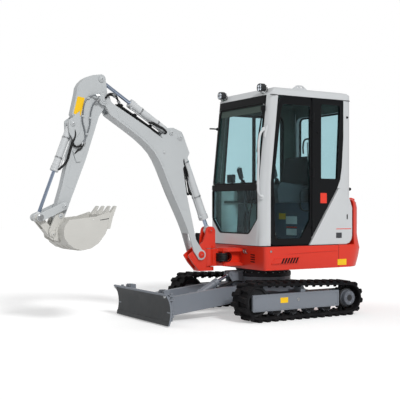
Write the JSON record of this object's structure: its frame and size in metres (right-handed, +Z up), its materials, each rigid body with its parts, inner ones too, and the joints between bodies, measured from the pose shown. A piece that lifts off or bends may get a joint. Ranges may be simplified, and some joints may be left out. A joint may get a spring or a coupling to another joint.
{
  "type": "mini excavator",
  "caption": "Rubber-tracked mini excavator with an enclosed cab, round tail, swing boom, curved boom, arm with bucket and linkage, rams and a dozer blade.",
  "frame": {"origin": "on the ground under the centre of the whole machine's box", "axes": "+X forward over the blade and the bucket, +Y to the machine's left, where the door is, +Z up"},
  "size_m": [3.734, 1.5, 2.42],
  "materials": {
    "red_paint": "glossy orange-red paint",
    "white_paint": "glossy light grey-white paint",
    "bucket_paint": "satin warm light-grey paint",
    "grey_paint": "satin blue-grey paint",
    "black_paint": "satin black paint",
    "track_rubber": "matt black rubber",
    "dark_iron": "matt dark iron",
    "chrome_rod": "polished chrome",
    "cab_glass": "clear, faintly blue-green",
    "seat_vinyl": "matt black vinyl",
    "cab_trim": "grained dark grey plastic",
    "lamp_black": "black housing with a clear lens"
  },
  "bodies": {
    "undercarriage": {"car_body": "grey_paint", "slew_ring": "dark_iron", "track_frame_left": "grey_paint", "track_left": "track_rubber", "idler_left": "dark_iron", "sprocket_left": "dark_iron", "track_frame_right": "grey_paint", "track_right": "track_rubber", "idler_right": "dark_iron", "sprocket_right": "dark_iron"},
    "blade": {"blade": "grey_paint"},
    "blade_barrel": {"blade_cylinder_barrel": "grey_paint"},
    "blade_rod": {"blade_cylinder_rod": "chrome_rod"},
    "house": {"upper_frame": "red_paint", "counterweight": "red_paint", "engine": "dark_iron", "side_cover_left": "white_paint", "side_cover_right": "red_paint", "cab_floor": "black_paint", "seat_platform": "cab_trim", "cab_front_frame": "white_paint", "cab_rear_frame": "white_paint", "cab_quarter_panel": "black_paint", "cab_right_wall": "white_paint", "cab_roof": "white_paint", "windscreen_upper": "cab_glass", "windscreen_lower": "cab_glass", "quarter_window": "cab_glass", "right_window": "cab_glass", "rear_window": "cab_glass", "seat": "seat_vinyl", "control_consoles": "cab_trim", "travel_levers": "black_paint", "work_lamp_left": "lamp_black", "work_lamp_right": "lamp_black"},
    "door": {"door": "black_paint", "door_glass": "cab_glass"},
    "hood": {"engine_hood": "red_paint"},
    "swing": {"swing_bracket": "red_paint"},
    "boom": {"boom": "white_paint"},
    "boom_barrel": {"boom_cylinder_barrel": "white_paint"},
    "boom_rod": {"boom_cylinder_rod": "chrome_rod"},
    "arm": {"arm": "white_paint"},
    "arm_barrel": {"arm_cylinder_barrel": "white_paint"},
    "arm_rod": {"arm_cylinder_rod": "chrome_rod"},
    "bucket_barrel": {"bucket_cylinder_barrel": "white_paint"},
    "bucket_rod": {"bucket_cylinder_rod": "chrome_rod"},
    "bucket": {"bucket": "bucket_paint"},
    "idler_link": {"idler_link_left": "white_paint", "idler_link_right": "white_paint"},
    "push_link": {"push_link": "bucket_paint"}
  },
  "joints": [
    {"name": "slew", "type": "hinge", "parent": "undercarriage", "child": "house", "pos_m": [-0.76702, 0, 0.484], "axis": [0, 0, 1], "continuous": true},
    {"name": "boom_swing", "type": "hinge", "parent": "house", "child": "swing", "pos_m": [-0.04702, 0, 0.612], "axis": [0, 0, 1], "range_deg": [-50, 75]},
    {"name": "boom_lift", "type": "hinge", "parent": "swing", "child": "boom", "pos_m": [0.07698, 0, 0.645], "axis": [0, -1, 0], "range_deg": [-82, 2]},
    {"name": "arm_swing", "type": "hinge", "parent": "boom", "child": "arm", "pos_m": [1.17398, 0, 2.178], "axis": [0, 1, 0], "range_deg": [-85, 30]},
    {"name": "bucket_curl", "type": "hinge", "parent": "arm", "child": "bucket", "pos_m": [1.62398, 0, 1.055], "axis": [0, 1, 0], "range_deg": [-130, 5]},
    {"name": "blade_lift", "type": "hinge", "parent": "undercarriage", "child": "blade", "pos_m": [-0.31702, 0, 0.24], "axis": [0, -1, 0], "range_deg": [-16, 18]},
    {"name": "door_open", "type": "hinge", "parent": "house", "child": "door", "pos_m": [-1.02902, 0.53, 1.5], "axis": [0, 0, 1], "range_deg": [0, 170]},
    {"name": "hood_open", "type": "hinge", "parent": "house", "child": "hood", "pos_m": [-1.61302, 0, 1.236], "axis": [0, 1, 0], "range_deg": [0, 70]},
    {"name": "boom_barrel_turn", "type": "hinge", "parent": "boom", "child": "boom_barrel", "pos_m": [0.33098, 0, 1.847], "axis": [0, -1, 0], "range_deg": [-3.4, 0.6]},
    {"name": "boom_rod_slide", "type": "slide", "parent": "boom_barrel", "child": "boom_rod", "axis": [-0.3706, 0, -0.9288], "range_m": [-0.011, 0.371]},
    {"name": "arm_barrel_turn", "type": "hinge", "parent": "boom", "child": "arm_barrel", "pos_m": [0.42998, 0, 1.889], "axis": [0, 1, 0], "range_deg": [-2.9, 1.4]},
    {"name": "arm_rod_slide", "type": "slide", "parent": "arm_barrel", "child": "arm_rod", "axis": [0.8443, 0, 0.5359], "range_m": [-0.267, 0.096]},
    {"name": "blade_barrel_turn", "type": "hinge", "parent": "blade", "child": "blade_barrel", "pos_m": [0.09298, 0, 0.215], "axis": [0, -1, 0], "range_deg": [-4, 3.6]},
    {"name": "blade_rod_slide", "type": "slide", "parent": "blade_barrel", "child": "blade_rod", "axis": [-0.8919, 0, 0.4523], "range_m": [-0.054, 0.048]},
    {"name": "bucket_barrel_turn", "type": "hinge", "parent": "arm", "child": "bucket_barrel", "pos_m": [1.49098, 0, 1.929], "axis": [0, 1, 0], "range_deg": [-3.8, 0.7]},
    {"name": "bucket_rod_slide", "type": "slide", "parent": "bucket_barrel", "child": "bucket_rod", "axis": [0.3567, 0, -0.9342], "range_m": [-0.412, 0.018]},
    {"name": "idler_link_turn", "type": "hinge", "parent": "arm", "child": "idler_link", "pos_m": [1.58798, 0, 1.15], "axis": [0, 1, 0], "range_deg": [-100, 4.4]},
    {"name": "push_link_turn", "type": "hinge", "parent": "bucket", "child": "push_link", "pos_m": [1.70298, 0, 0.888], "axis": [0, 1, 0], "range_deg": [-3.2, 69.4]}
  ],
  "couplings": [
    {"joint": "boom_barrel_turn", "follows": "boom_lift", "ratio": 0.0357},
    {"joint": "boom_rod_slide", "follows": "boom_lift", "m_per_rad": -0.2577},
    {"joint": "arm_barrel_turn", "follows": "arm_swing", "ratio": 0.0277},
    {"joint": "arm_rod_slide", "follows": "arm_swing", "m_per_rad": 0.1786},
    {"joint": "blade_barrel_turn", "follows": "blade_lift", "ratio": -0.1911},
    {"joint": "blade_rod_slide", "follows": "blade_lift", "m_per_rad": -0.1643},
    {"joint": "bucket_barrel_turn", "follows": "bucket_curl", "ratio": 0.0243},
    {"joint": "bucket_rod_slide", "follows": "bucket_curl", "m_per_rad": 0.1806},
    {"joint": "idler_link_turn", "follows": "bucket_curl", "ratio": 0.7648},
    {"joint": "push_link_turn", "follows": "bucket_curl", "ratio": -0.5293}
  ]
}
